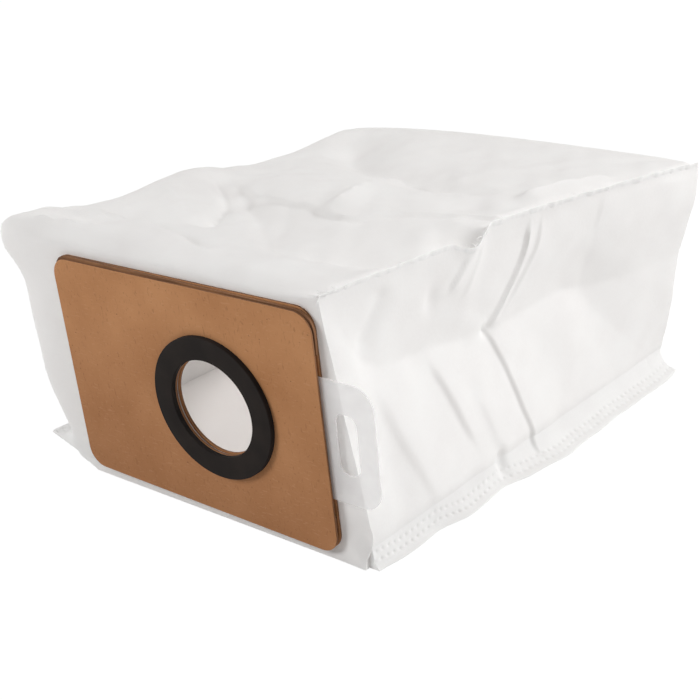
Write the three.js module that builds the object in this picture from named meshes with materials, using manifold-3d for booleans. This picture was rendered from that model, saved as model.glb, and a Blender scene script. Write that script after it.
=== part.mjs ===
// Vacuum dust bag: a soft white bag of non-woven cloth behind a stiff card collar.
// The collar is two boards with a flat track between them. A plastic shutter slides
// in the track and closes the round port. A rubber ring on the front seals the port.
// Millimetres, +Z up. The collar faces -Y and the bag reaches back along +Y.
import * as THREE from 'three';
import { mergeVertices } from 'three/addons/utils/BufferGeometryUtils.js';
import Module from 'manifold-3d';

const wasm = await Module();
wasm.setup();

// Collar boards
const plateWidth = 117.6;
const plateHeight = 85;
const plateCornerRadius = 7;
const boardThickness = 0.9;
const trackThickness = 0.9;
const trackInset = 0.4;
const glueGap = 0.05;

// Port and its seal ring
const portX = 12;
const portDrop = 1;
const portDiameter = 35.5;
const ringDiameter = 52;
const ringThickness = 1.8;
const ringEdgeBevel = 0.35;

// Shutter, with the port hole that it lines up at rest and the pull tab outside
const shutterThickness = 0.5;
const shutterHeight = 56;
const shutterHoleClearance = 0.5;
const shutterOverlap = 2.25;
const shutterCornerRadius = 3;
const shoulderInset = 3;
const earLength = 4;
const earHeight = 1.6;
const tabHeight = 43.4;
const tabReach = 19.3;
const tabCornerRadius = 8;
const slotHeight = 21.5;
const slotWidth = 8;
const slotRadius = 3.5;
const slotFromTabEnd = 7.3;

// Running clearances of the shutter in its track
const trackClearance = 1;
const endClearance = 0.75;
const stopClearance = 0.3;

// Bag, measured from the back of the collar
const bagDepth = 172;
const cloth = 1;
const clothGap = 0.3;
const clothHoleClearance = 1;
const clothBelowPlate = 4.25;
const clothAbovePlate = 3.75;
const rearCornerHeight = 87.5;
const leftFrontHeight = 94.5;
const leftRearHeight = 83;
const crownHeight = 0.8;
const rearCrownHeight = 4;
const rearCrownLength = 42;
const rearBulge = 2.6;

// Plan of the bag: how far it stands past the collar's edges in front, and its skew to the rear
const leftOverhang = 33;
const leftSkew = 24;
const seamOverhang = 0.7;
const bellyOverhang = 12.7;
const bellySkew = 18.5;
const seamSkew = 44;
const bellyHeight = 12;
const leftBulge = 3;

// Soft roundings
const frontTopRound = 8;
const frontTopDrop = 2.6;
const frontLeftRound = 12;
const frontLeftTuck = 24;
const topLeftRoundWidth = 13;
const topLeftRoundHeight = 11;

// The front corner at the top left is pinched outwards
const pinchReach = 8;
const pinchHeight = 86;
const pinchHeightSpread = 8;
const pinchDepth = 6;
const pinchDepthSpread = 10;

// Welded flanges along the foot of both sides
const weldThickness = 0.9;
const flangeRootHeight = 3.5;
const flangeTuck = 2.5;
const flangeFrontWidth = 4.5;
const flangeRearWidth = 8;
const leftFootFrontTuck = 7;
const leftFootRearTuck = 1.5;

// Fold across the middle, where the bag was folded flat: a step in the right-hand seam,
// and a crease shaped like an arrowhead in the right side, its point towards the collar
const foldDepth = 61;
const foldStepLength = 8;
const foldRise = 2.2;
const seamDip = 4.4;
const seamDipLength = 12;
const creaseDepth = 4.5;
const creaseWidth = 11;
const creasePointDepth = 72;
const creasePointHeight = 54;
const creaseUpperLean = 0.6;
const creaseLowerLean = 0.33;
const waistDepth = 2.5;

// The same fold across the top: a broad crest from the seam to the left-hand edge, a hollow
// before it and another behind it, and a hump near the left-hand edge. Beside the seam the
// relief and the seam's own dip die away.
const crestHeight = 5;
const crestFrontLength = 30;
const crestRearLength = 38;
const crestNearestX = 50;
const crestLeftSkew = 14;
const crestRightSkew = 11;
const frontHollowDepth = 5.2;
const frontHollowAhead = 18;
const frontHollowLength = 25;
const rearHollowDepth = 2.6;
const rearHollowPlace = 116;
const rearHollowSkew = 0.32;
const rearHollowLength = 30;
const humpHeight = 3.1;
const humpPlace = 60;
const humpX = -55;
const humpLength = 19;
const humpWidth = 25;
const seamDipWidth = 16;

// Sizes that follow
const plateThickness = 2 * boardThickness + 2 * glueGap + trackThickness;
const plateLeft = -plateWidth / 2;
const plateRight = plateWidth / 2;
const plateBottom = clothBelowPlate;
const plateTop = plateBottom + plateHeight;
const portZ = plateBottom + plateHeight / 2 - portDrop;
const portRadius = portDiameter / 2;
const clothFront = plateThickness + clothGap;
const seamFrontHeight = plateTop + clothAbovePlate;
const shutterTravel = portDiameter + 2 * shutterOverlap;
const shutterLeft = portX - portRadius - shutterOverlap - shutterTravel;
const circleSteps = 48;
const cornerSteps = 5;

const clamp = (value) => Math.min(Math.max(value, 0), 1);
const mix = (a, b, share) => a + (b - a) * share;

function ease(value) {
  const t = clamp(value);
  return t * t * (3 - 2 * t);
}

// Points of an arc in the collar's plane, from one angle to another in degrees
function arc(x, z, radius, from, to, steps) {
  return Array.from({ length: steps + 1 }, (_, i) => {
    const angle = THREE.MathUtils.degToRad(mix(from, to, i / steps));
    return new THREE.Vector2(x + radius * Math.cos(angle), z + radius * Math.sin(angle));
  });
}

function circle(x, z, radius) {
  return arc(x, z, radius, 0, 360, circleSteps).slice(1);
}

function roundedRectangle(left, right, bottom, top, radius) {
  return [
    ...arc(right - radius, bottom + radius, radius, -90, 0, cornerSteps),
    ...arc(right - radius, top - radius, radius, 0, 90, cornerSteps),
    ...arc(left + radius, top - radius, radius, 90, 180, cornerSteps),
    ...arc(left + radius, bottom + radius, radius, 180, 270, cornerSteps),
  ];
}

// Flat sheet standing upright, its front face at the given depth
function uprightSheet(outline, holes, front, thickness) {
  const shape = new THREE.Shape(outline);
  shape.holes = holes.map((points) => new THREE.Path(points));
  const geometry = new THREE.ExtrudeGeometry(shape, { depth: thickness, bevelEnabled: false });
  geometry.rotateX(Math.PI / 2);
  geometry.translate(0, front + thickness, 0);
  return geometry;
}

function point(x, z) {
  return new THREE.Vector2(x, z);
}

function boardGeometry(front) {
  const outline = roundedRectangle(plateLeft, plateRight, plateBottom, plateTop, plateCornerRadius);
  return uprightSheet(outline, [circle(portX, portZ, portRadius)], front, boardThickness);
}

// Card spacer, a little smaller than the boards, that glues them together on three sides
// and leaves a channel open to the right. The channel is taller at its inner end, and
// the step there stops the shutter.
function trackSpacerGeometry() {
  const mouth = shutterHeight / 2 + trackClearance;
  const pocket = mouth + earHeight;
  const channelEnd = shutterLeft - endClearance;
  const stop = shutterLeft + earLength + shutterTravel + stopClearance;
  const radius = plateCornerRadius - trackInset;
  const left = plateLeft + plateCornerRadius;
  const right = plateRight - plateCornerRadius;
  const bottom = plateBottom + plateCornerRadius;
  const top = plateTop - plateCornerRadius;
  const outline = [
    point(plateRight - trackInset, portZ + mouth),
    ...arc(right, top, radius, 0, 90, cornerSteps),
    ...arc(left, top, radius, 90, 180, cornerSteps),
    ...arc(left, bottom, radius, 180, 270, cornerSteps),
    ...arc(right, bottom, radius, 270, 360, cornerSteps),
    point(plateRight - trackInset, portZ - mouth),
    point(stop, portZ - mouth),
    point(stop, portZ - pocket),
    point(channelEnd, portZ - pocket),
    point(channelEnd, portZ + pocket),
    point(stop, portZ + pocket),
    point(stop, portZ + mouth),
  ];
  return uprightSheet(outline, [], boardThickness + glueGap, trackThickness);
}

// Thin shutter: a blank end with two ears, the port hole, shoulders just inside the
// mouth of the track, and a narrower pull tab with a finger slot
function shutterGeometry() {
  const half = shutterHeight / 2;
  const ear = half + earHeight;
  const shoulder = plateRight - shoulderInset;
  const end = plateRight + tabReach;
  const halfTab = tabHeight / 2;
  const corner = shoulder - shutterCornerRadius;
  const outline = [
    point(shutterLeft, portZ - ear),
    point(shutterLeft + earLength, portZ - ear),
    point(shutterLeft + earLength, portZ - half),
    ...arc(corner, portZ - half + shutterCornerRadius, shutterCornerRadius, -90, 0, cornerSteps),
    point(shoulder, portZ - halfTab),
    ...arc(end - tabCornerRadius, portZ - halfTab + tabCornerRadius, tabCornerRadius, -90, 0, cornerSteps),
    ...arc(end - tabCornerRadius, portZ + halfTab - tabCornerRadius, tabCornerRadius, 0, 90, cornerSteps),
    point(shoulder, portZ + halfTab),
    ...arc(corner, portZ + half - shutterCornerRadius, shutterCornerRadius, 0, 90, cornerSteps),
    point(shutterLeft + earLength, portZ + half),
    point(shutterLeft + earLength, portZ + ear),
    point(shutterLeft, portZ + ear),
  ];
  const slotRight = end - slotFromTabEnd;
  const slot = roundedRectangle(
    slotRight - slotWidth,
    slotRight,
    portZ - slotHeight / 2,
    portZ + slotHeight / 2,
    slotRadius,
  );
  const hole = circle(portX, portZ, portRadius + shutterHoleClearance);
  const front = plateThickness / 2 - shutterThickness / 2;
  return uprightSheet(outline, [hole, slot], front, shutterThickness);
}

function sealRingGeometry() {
  const outer = ringDiameter / 2;
  const face = -glueGap - ringThickness;
  const profile = [
    point(portRadius, -glueGap),
    point(portRadius, face + ringEdgeBevel),
    point(portRadius + ringEdgeBevel, face),
    point(outer - ringEdgeBevel, face),
    point(outer, face + ringEdgeBevel),
    point(outer, -glueGap),
    point(portRadius, -glueGap),
  ];
  const geometry = new THREE.LatheGeometry(profile, circleSteps);
  geometry.translate(portX, 0, portZ);
  return geometry;
}

// Height of the right-hand seam: level in front, a dip before the fold, a step up at the
// fold, and a slow fall to the rear corner
function seamHeight(depth) {
  const dip = seamDip * ease((depth - foldDepth + seamDipLength) / seamDipLength);
  const behind = clamp((depth - foldDepth) / (bagDepth - foldDepth));
  const rear = mix(seamFrontHeight + foldRise, rearCornerHeight, behind ** 1.5);
  return mix(seamFrontHeight - dip, rear, ease((depth - foldDepth) / foldStepLength));
}

// Height of the top beside the seam, where the seam's dip has died away
function softSeamHeight(depth) {
  const rise = foldRise * ease((depth - foldDepth + 3 * foldStepLength) / (3 * foldStepLength));
  const behind = clamp((depth - foldDepth) / (bagDepth - foldDepth));
  return mix(seamFrontHeight + rise, rearCornerHeight, behind);
}

function seamX(depth) {
  return plateRight + seamOverhang + seamSkew * (depth / bagDepth);
}

// How far the arrowhead crease and the waist of the side pull the wall inwards
function sidePull(depth, height, top) {
  const above = height - creasePointHeight;
  const lean = above > 0 ? creaseUpperLean * above : -creaseLowerLean * above;
  const offset = (depth - creasePointDepth - lean) / creaseWidth;
  const between = Math.sin(Math.PI * clamp((height - bellyHeight) / (top - bellyHeight)));
  const waist = waistDepth * clamp(depth / foldDepth);
  return between * (creaseDepth * Math.exp(-offset * offset) + waist);
}

function rightWall(depth) {
  const share = depth / bagDepth;
  const belly = plateRight + bellyOverhang + bellySkew * share;
  const top = seamHeight(depth);
  const levels = [0, 0.13, 0.27, 0.4, 0.5, 0.6, 0.73, 0.87];
  const wall = levels.map((level) => {
    const height = mix(bellyHeight, top, level);
    return point(mix(belly, seamX(depth), level) - sidePull(depth, height, top), height);
  });
  return [point(belly - flangeTuck, flangeRootHeight), ...wall, point(seamX(depth), top)];
}

// Quarter-ellipse rounding, 1 at the edge and 0 where the rounding ends
function rounding(depth, length) {
  const t = 1 - clamp(depth / length);
  return 1 - Math.sqrt(1 - t * t);
}

function leftX(depth) {
  const share = depth / bagDepth;
  return plateLeft - leftOverhang + leftSkew * share + frontLeftTuck * rounding(depth, frontLeftRound);
}

// How far the foot of the left wall is drawn in from the wall above it
function leftFootTuck(depth) {
  return mix(leftFootFrontTuck, leftFootRearTuck, depth / bagDepth);
}

// How far the pinched corner stands out at one depth and height
function cornerPinch(depth, height) {
  const along = (depth - pinchDepth) / pinchDepthSpread;
  const up = (height - pinchHeight) / pinchHeightSpread;
  return pinchReach * Math.exp(-along * along - up * up);
}

// 1 in the middle, falling off to both sides
function bell(offset, length) {
  return Math.exp(-((offset / length) ** 2));
}

// Height of the fold across the top, above the plain panel
function foldRelief(depth, x) {
  const toLeft = clamp((crestNearestX - x) / (crestNearestX - leftX(depth)));
  const toRight = clamp((x - crestNearestX) / (seamX(depth) - crestNearestX));
  const crest = foldDepth + crestLeftSkew * toLeft ** 1.3 + crestRightSkew * toRight;
  const behind = depth - crest;
  const slopeLength = behind > 0 ? crestRearLength : crestFrontLength;
  const ridge = crestHeight * Math.exp(-Math.abs(behind) / slopeLength);
  const frontHollow = frontHollowDepth * bell(behind + frontHollowAhead, frontHollowLength);
  const rearHollow = rearHollowDepth * bell(depth - rearHollowPlace + rearHollowSkew * x, rearHollowLength);
  const hump = humpHeight * bell(depth - humpPlace, humpLength) * bell(x - humpX, humpWidth);
  return ridge - frontHollow - rearHollow + hump;
}

// Top panel from the seam to the soft left-hand edge, and the left wall down to its foot
function topAndLeftWall(depth) {
  const share = depth / bagDepth;
  const drop = frontTopDrop * rounding(depth, frontTopRound);
  const left = leftX(depth);
  const right = seamX(depth);
  const leftHeight = mix(leftFrontHeight, leftRearHeight, share);
  const topAt = (across) => {
    const x = mix(left, right, across);
    const fromSeam = ease((right - x) / seamDipWidth);
    const seam = mix(seamHeight(depth), softSeamHeight(depth), fromSeam);
    const behind = ease((depth - bagDepth + rearCrownLength) / rearCrownLength);
    const rearCrown = rearCrownHeight * Math.sin(Math.PI * across ** 0.55) * behind;
    const crown = crownHeight * Math.sin(Math.PI * across) * clamp(share * 4) + rearCrown;
    const edge = Math.min(1, 8 * (1 - across));
    const calm = fromSeam * clamp(depth / frontTopRound) * clamp((bagDepth - depth) / frontTopRound);
    return mix(leftHeight, seam, across) + crown - drop * edge + calm * foldRelief(depth, x);
  };
  const roundStart = topLeftRoundWidth / (right - left);
  const topSteps = 9;
  const panel = Array.from({ length: topSteps }, (_, i) => {
    const across = mix(1, roundStart, (i + 1) / topSteps);
    return point(mix(left, right, across), topAt(across));
  });
  const corner = new THREE.QuadraticBezierCurve(
    panel[panel.length - 1],
    point(left, leftHeight - drop),
    point(left, leftHeight - topLeftRoundHeight),
  );
  const levels = [0.75, 0.5, 0.25];
  const wallTop = leftHeight - topLeftRoundHeight;
  const wall = levels.map((level) => {
    const bulge = leftBulge * Math.sin(Math.PI * level) * clamp(depth / frontLeftRound);
    return point(left - bulge, mix(flangeRootHeight, wallTop, level));
  });
  const side = [...corner.getPoints(4).slice(1), ...wall].map((p) => (
    point(p.x - cornerPinch(depth, p.y), p.y)
  ));
  return [...panel, ...side, point(left + leftFootTuck(depth), flangeRootHeight)];
}

function bodyOutline(depth) {
  return [...rightWall(depth), ...topAndLeftWall(depth)];
}

function bottomPoints(left, right) {
  return [0.25, 0.5, 0.75].map((share) => point(mix(left, right, share), 0));
}

// Outline of the cloth from outside, with the flanges at its feet
function outerOutline(depth) {
  const body = bodyOutline(depth);
  const width = mix(flangeFrontWidth, flangeRearWidth, depth / bagDepth);
  const right = body[0].x + width;
  const left = body[body.length - 1].x - leftFootTuck(depth) - width;
  const feet = [point(left, weldThickness), point(left, 0), ...bottomPoints(left, right)];
  return [point(right, 0), point(right, weldThickness), ...body, ...feet];
}

// The same outline without flanges, moved inwards by the cloth's thickness
function innerOutline(depth) {
  const body = bodyOutline(depth);
  const right = body[0].x;
  const left = body[body.length - 1].x;
  const loop = [point(right, 0), ...body, point(left, 0), ...bottomPoints(left, right)];
  return loop.map((here, i) => {
    const before = here.clone().sub(loop[(i + loop.length - 1) % loop.length]).normalize();
    const after = loop[(i + 1) % loop.length].clone().sub(here).normalize();
    const normalBefore = point(-before.y, before.x);
    const normalAfter = point(-after.y, after.x);
    const inwards = normalBefore.clone().add(normalAfter).normalize();
    return here.clone().addScaledVector(inwards, cloth / Math.max(inwards.dot(normalAfter), 0.6));
  });
}

// Depths of the sections: close together at the front rounding and at the fold
function sectionDepths() {
  const frontDepths = [0, 0.15, 0.4, 0.7, 1].map((share) => share * frontLeftRound);
  const foldStart = foldDepth - seamDipLength;
  const foldEnd = foldDepth + foldStepLength;
  const between = (from, to, count) => (
    Array.from({ length: count }, (_, i) => mix(from, to, (i + 1) / count))
  );
  return [
    ...frontDepths,
    ...between(frontLeftRound, foldStart, 3),
    ...between(foldStart, foldDepth, 2),
    ...between(foldDepth, foldEnd, 3),
    ...between(foldEnd, bagDepth, 9),
  ];
}

// Closed body through a row of outlines, with a flat front and a bulged rear
function loftGeometry(outlines, depths, bulge) {
  const count = outlines[0].length;
  const last = outlines[outlines.length - 1];
  const centre = last.reduce((sum, p) => sum.add(p), point(0, 0)).divideScalar(count);
  const lastDepth = depths[depths.length - 1];
  const rearRing = last.map((p) => p.clone().lerp(centre, 0.45));
  const rings = [...outlines, rearRing];
  const ringDepths = [...depths, lastDepth + 0.7 * bulge];
  const positions = rings.flatMap((ring, k) => ring.flatMap((p) => [p.x, ringDepths[k], p.y]));
  const tip = rings.length * count;
  positions.push(centre.x, lastDepth + bulge, centre.y);
  const faces = THREE.ShapeUtils.triangulateShape(outlines[0], []).flat();
  for (let k = 0; k < rings.length - 1; k += 1) {
    for (let i = 0; i < count; i += 1) {
      const next = (i + 1) % count;
      const near = k * count;
      const far = near + count;
      faces.push(near + i, far + next, near + next, near + i, far + i, far + next);
    }
  }
  const rear = (rings.length - 1) * count;
  for (let i = 0; i < count; i += 1) {
    faces.push(rear + i, tip, rear + ((i + 1) % count));
  }
  const geometry = new THREE.BufferGeometry();
  geometry.setAttribute('position', new THREE.Float32BufferAttribute(positions, 3));
  geometry.setIndex(faces);
  return geometry;
}

function toSolid(geometry) {
  const bare = geometry.index ? geometry.clone() : mergeVertices(geometry.clone());
  bare.deleteAttribute('normal');
  bare.deleteAttribute('uv');
  const merged = mergeVertices(bare);
  return new wasm.Manifold(new wasm.Mesh({
    numProp: 3,
    vertProperties: Float32Array.from(merged.attributes.position.array),
    triVerts: Uint32Array.from(merged.index.array),
  }));
}

function toGeometry(solid) {
  const mesh = solid.getMesh();
  const geometry = new THREE.BufferGeometry();
  geometry.setAttribute('position', new THREE.BufferAttribute(mesh.vertProperties, 3));
  geometry.setIndex(new THREE.BufferAttribute(mesh.triVerts, 1));
  geometry.computeVertexNormals();
  return geometry;
}

// Hollow cloth body with its mouth behind the port
function clothBagGeometry() {
  const depths = sectionDepths();
  const outer = loftGeometry(depths.map(outerOutline), depths.map((d) => clothFront + d), rearBulge);
  const squeeze = (bagDepth - 2 * cloth) / bagDepth;
  const innerDepths = depths.map((d) => clothFront + cloth + d * squeeze);
  const inner = loftGeometry(depths.map(innerOutline), innerDepths, rearBulge);
  const mouthRadius = portRadius + clothHoleClearance;
  const mouthLength = 4 * cloth;
  const mouth = new THREE.CylinderGeometry(mouthRadius, mouthRadius, mouthLength, circleSteps);
  mouth.translate(portX, clothFront + cloth / 2, portZ);
  return toGeometry(toSolid(outer).subtract(toSolid(inner)).subtract(toSolid(mouth)));
}

const card = new THREE.MeshStandardMaterial({ color: '#b07f5c', roughness: 0.85, metalness: 0 });
const coreCard = new THREE.MeshStandardMaterial({ color: '#8a5f43', roughness: 0.9, metalness: 0 });
const rubber = new THREE.MeshStandardMaterial({ color: '#231e1c', roughness: 0.7, metalness: 0 });
const film = new THREE.MeshStandardMaterial({
  color: '#e6e6e8',
  roughness: 0.4,
  metalness: 0,
  transparent: true,
  opacity: 0.5,
});
const whiteCloth = new THREE.MeshStandardMaterial({ color: '#efedea', roughness: 0.95, metalness: 0 });

const group = new THREE.Group();

function add(name, geometry, material) {
  const mesh = new THREE.Mesh(geometry, material);
  mesh.name = name;
  group.add(mesh);
}

add('front_board', boardGeometry(0), card);
add('track_spacer', trackSpacerGeometry(), coreCard);
add('back_board', boardGeometry(plateThickness - boardThickness), card);
add('seal_ring', sealRingGeometry(), rubber);
add('shutter', shutterGeometry(), film);
add('cloth_bag', clothBagGeometry(), whiteCloth);

// The origin is under the middle of the whole part, on the surface that it stands on
const box = new THREE.Box3().setFromObject(group);
const middle = box.getCenter(new THREE.Vector3());
group.position.set(-middle.x, -middle.y, -box.min.z);

export default group;
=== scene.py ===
import math

import bpy
import numpy as np
from mathutils import Matrix, Vector


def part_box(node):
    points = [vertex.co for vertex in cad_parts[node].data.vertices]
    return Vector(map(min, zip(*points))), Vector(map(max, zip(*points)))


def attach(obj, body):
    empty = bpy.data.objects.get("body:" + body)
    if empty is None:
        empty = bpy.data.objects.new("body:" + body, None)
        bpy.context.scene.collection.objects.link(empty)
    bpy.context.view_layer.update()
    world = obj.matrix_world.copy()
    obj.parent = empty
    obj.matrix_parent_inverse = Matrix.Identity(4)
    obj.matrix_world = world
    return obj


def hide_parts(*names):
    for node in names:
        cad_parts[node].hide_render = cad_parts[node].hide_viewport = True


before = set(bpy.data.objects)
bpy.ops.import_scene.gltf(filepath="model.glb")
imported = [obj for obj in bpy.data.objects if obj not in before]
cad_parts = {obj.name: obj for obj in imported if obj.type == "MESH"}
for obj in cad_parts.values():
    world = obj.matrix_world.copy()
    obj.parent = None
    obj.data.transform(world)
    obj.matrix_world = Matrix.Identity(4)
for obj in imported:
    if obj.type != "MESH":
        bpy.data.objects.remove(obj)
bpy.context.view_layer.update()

# Lengths below are millimetres. Bag coordinates are: x from the collar's middle, to the
# pull tab's side; depth from the cloth's front panel into the bag; height from the floor.
# Waves are given as height, wavelength and seed.
MM = 0.001

plate_low, plate_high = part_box("front_board")
back_low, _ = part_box("back_board")
ring_low, ring_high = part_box("seal_ring")
shutter_low, shutter_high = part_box("shutter")
cloth_low, cloth_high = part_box("cloth_bag")

# Where bag coordinates start in the row frame, in metres
MIDDLE_X = (plate_low.x + plate_high.x) / 2
CLOTH_Y = cloth_low.y

# Collar and shutter, as they are in the frame
PLATE_RIGHT = (plate_high.x - MIDDLE_X) / MM
PLATE_LEFT = -PLATE_RIGHT
PLATE_BOTTOM = plate_low.z / MM
PLATE_TOP = plate_high.z / MM
PLATE_FRONT = (plate_low.y - CLOTH_Y) / MM
BOARD = (plate_high.y - plate_low.y) / MM
BACK_FRONT = (back_low.y - CLOTH_Y) / MM
PORT_X = ((ring_low.x + ring_high.x) / 2 - MIDDLE_X) / MM
PORT_Z = (ring_low.z + ring_high.z) / 2 / MM
RING_RADIUS = (ring_high.x - ring_low.x) / 2 / MM
RING_FRONT = (ring_low.y - CLOTH_Y) / MM
RING_BACK = (ring_high.y - CLOTH_Y) / MM
SHUTTER_FRONT = (shutter_low.y - CLOTH_Y) / MM
SHUTTER_THICKNESS = (shutter_high.y - shutter_low.y) / MM
SHUTTER_LEFT = (shutter_low.x - MIDDLE_X) / MM
TAB_END = (shutter_high.x - MIDDLE_X) / MM
EAR_HALF = (shutter_high.z - shutter_low.z) / 2 / MM
PORT_RADIUS = 17.75
PLATE_CORNER = 7.0

# Bag. A skew is how far a long edge has moved towards the tab's side at the rear.
REAR_BULGE = 2.6
BAG_DEPTH = (cloth_high.y - cloth_low.y) / MM - REAR_BULGE
CLOTH_RIGHT = 59.5
CLOTH_LEFT = -92.5
SEAM_FRONT = PLATE_TOP + 3.75
REAR_CORNER = 87.5
LEFT_SKEW = 24.0
SEAM_SKEW = 44.0
BELLY_SKEW = 18.5
BELLY_OVERHANG = 12.0
BELLY_HEIGHT = 12.0
CLOTH = 0.55
CLOTH_HOLE = PORT_RADIUS + 1.0

# Soft roundings of the front edges and of the long edge at the top left
FRONT_TOP_ROUND = 8.0
FRONT_TOP_DROP = 2.6
FRONT_DROP_GROWTH = 8.0
FRONT_LEFT_ROUND = 12.0
FRONT_LEFT_TUCK = 24.0
CORNER_WIDTH = 12.0
CORNER_HEIGHT = 9.0
LEFT_BULGE = 2.2
LEFT_WAVES = (1.0, 42, 31)

# The top left corner in front is pinched outwards, and the wall below it is drawn in
PINCH = dict(centre=(6, 85), height=10.0, width=9.0, length=8.5)
FOOT_FRONT_TUCK = 10.5
FOOT_REAR_TUCK = 3.0
FOOT_TUCK_DEPTH = 60.0
FOOT_LENGTH = 36.0

# Foot of the right wall, under the weld flange
ROOT_HEIGHT = 3.5
ROOT_TUCK = 2.5

# Fold across the middle, where the seam dips and then rises
FOLD_DEPTH = 61.0
FOLD_STEP = 8.0
FOLD_RISE = 2.2
SEAM_DIP = 4.4
SEAM_DIP_LENGTH = 12.0
REAR_FALL = 1.5

# Crown of the top, which is stronger and leans to the left at the rear
CROWN = 0.8
REAR_CROWN = 4.2
REAR_CROWN_LEAN = 0.55
REAR_CROWN_FROM = 42.0
REAR_CROWN_GROWTH = 40.0

# Groove of the top beside the seam, and the strip where the top still follows the seam
GROOVE_SINK = 1.2
GROOVE_OFFSET = 2.0
GROOVE_WIDTH = 1.5
GROOVE_FADE = 4.0
SEAM_STRIP = 17.0

# Lines along the bag, as depth and height or depth and x. A reach rounds a line's corners.
LEFT_EDGE = [
    (0, 93.5), (6, 95.8), (14, 95), (26, 93.4), (35, 92), (52, 90.2), (63, 90.8), (74, 91.8),
    (81, 92.2), (88, 90.6), (99, 87.2), (117, 84.2), (142, 83.2), (166, 83), (172, 82.4),
]
LEFT_EDGE_REACH = 3.0
SOFT_SEAM = [
    (0, 92), (10, 93.4), (34, 91.2), (48, 92.4), (66, 95.4), (82, 95), (110, 93.4), (140, 91.2),
    (172, 88),
]
SOFT_SEAM_REACH = 5.0
WAIST_LINE = [
    (0, 90), (4, 83), (9, 74), (14, 67), (20, 61.5), (37, 58.5), (55, 56), (74, 53.5), (91, 53.5),
    (112, 55.5), (124, 52), (172, 50),
]
WAIST_REACH = 3.0
WAIST_PULL = [
    (0, 0), (6, 1.2), (16, 5.4), (40, 9.0), (74, 9.2), (100, 9.2), (124, 8.0), (150, 4.2), (172, 2.4),
]
WAIST_SHARP = 36
WAIST_LIMIT = 1.5
RIGHT_FREE_EDGE = [
    (0, 72.6), (9, 75.5), (29, 77), (41, 81), (63, 82), (73, 86), (92, 91), (123, 93.5), (145, 95.4),
    (164, 98), (172, 96.8),
]
LEFT_FREE_EDGE = [(0, -61), (2, -66), (10, -99.5), (15, -98.5), (40, -93), (100, -84), (172, -73)]

# How softly the nearest stretch of a line gives way to the next, in square millimetres
LINE_BLEND = 9.0


def clamp(value, low=0.0, high=1.0):
    return np.clip(value, low, high)


def mix(a, b, share):
    return a + (b - a) * share


def ease(value):
    t = clamp(value)
    return t * t * (3 - 2 * t)


def bow(start, knee, end, t):
    """A smooth curve from start to end that leaves and arrives in line with the knee."""
    return start * (1 - t) ** 2 + 2 * knee * t * (1 - t) + end * t**2


def rounding(depth, length):
    """1 at the edge, falling to 0 along a quarter circle."""
    t = 1 - clamp(depth / length)
    return 1 - np.sqrt(1 - t * t)


def soft_noise(a, b, wavelength, seed, count=9):
    """Smooth seeded waviness between about -1 and 1, from crossing sine waves."""
    rng = np.random.default_rng(seed)
    total = np.zeros(np.broadcast(a, b).shape)
    for _ in range(count):
        angle = rng.uniform(0, math.tau)
        length = wavelength * rng.uniform(0.7, 1.5)
        phase = rng.uniform(0, math.tau)
        total += np.sin(math.tau * (a * math.cos(angle) + b * math.sin(angle)) / length + phase)
    return total / math.sqrt(count)


def waves(a, b, *layers):
    """Sum of soft noises, each given as its height, wavelength and seed."""
    return sum(height * soft_noise(a, b, wavelength, seed) for height, wavelength, seed in layers)


def soften(points, rounds=2):
    """The line with its corners cut, so that it bends smoothly."""
    line = np.array(points, float)
    for _ in range(rounds):
        near = line[:-1] * 0.75 + line[1:] * 0.25
        far = line[:-1] * 0.25 + line[1:] * 0.75
        inner = np.stack([near, far], axis=1).reshape(-1, 2)
        line = np.concatenate([line[:1], inner, line[-1:]])
    return line


def reached_lengths(line):
    """Length along a line of points up to each of them."""
    return np.concatenate([[0], np.cumsum(np.hypot(*np.diff(line, axis=0).T))])


def line_distance(a, b, points):
    """Distance to a line of points, the share of the way along it, and the side (+1 is left)."""
    line = soften(points)
    reached = reached_lengths(line)
    distances, shares, sides = [], [], []
    for start, end, before, after in zip(line, line[1:], reached, reached[1:]):
        way_a, way_b = (end - start) / (after - before)
        run = clamp((a - start[0]) * way_a + (b - start[1]) * way_b, 0, after - before)
        off_a, off_b = a - start[0] - run * way_a, b - start[1] - run * way_b
        distances.append(np.hypot(off_a, off_b))
        shares.append((before + run) / reached[-1])
        sides.append(np.sign(way_a * off_b - way_b * off_a + 1e-9))
    distances = np.array(distances)
    nearest = distances.min(axis=0)
    weights = np.exp(-(distances**2 - nearest**2) / LINE_BLEND)
    weights = weights / weights.sum(axis=0)
    return nearest, (weights * shares).sum(axis=0), (weights * sides).sum(axis=0)


def ends_taper(along, fade):
    """1 along most of a line, falling to 0 at its ends over the shares in fade."""
    first, last = fade if isinstance(fade, tuple) else (fade, fade)
    return ease(along / first) * ease((1 - along) / last)


def fold(a, b, points, height, width, sharpness=1.6, fade=0.18):
    """A ridge (height above 0) or a valley (below 0). Two widths are its left and right flank."""
    distance, along, side = line_distance(a, b, points)
    left, right = width if isinstance(width, tuple) else (width, width)
    flank = mix(right, left, (side + 1) / 2)
    return height * ends_taper(along, fade) * np.exp(-((distance / flank) ** sharpness))


def ledge(a, b, points, rise, fall, sharp, fade):
    """A crisp step along a line: up on its left, down on its right, each a height and a length."""
    distance, along, side = line_distance(a, b, points)
    signed = distance * side
    up = rise[0] * np.exp(-distance / rise[1])
    down = fall[0] * np.exp(-distance / fall[1])
    return ends_taper(along, fade) * np.where(signed > 0, up, down) * np.tanh(signed / sharp)


def dent(a, b, centre, height, width, length):
    """A round or oval dimple (height below 0) or bump."""
    return height * np.exp(-(((a - centre[0]) / width) ** 2) - ((b - centre[1]) / length) ** 2)


def bend(a, b, points, slope, reach):
    """The surface turns at a line: on its left it stands out by slope, less and less over reach."""
    distance, _, side = line_distance(a, b, points)
    past = distance * clamp(side)
    return slope * reach * (1 - np.exp(-past / reach))


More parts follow.
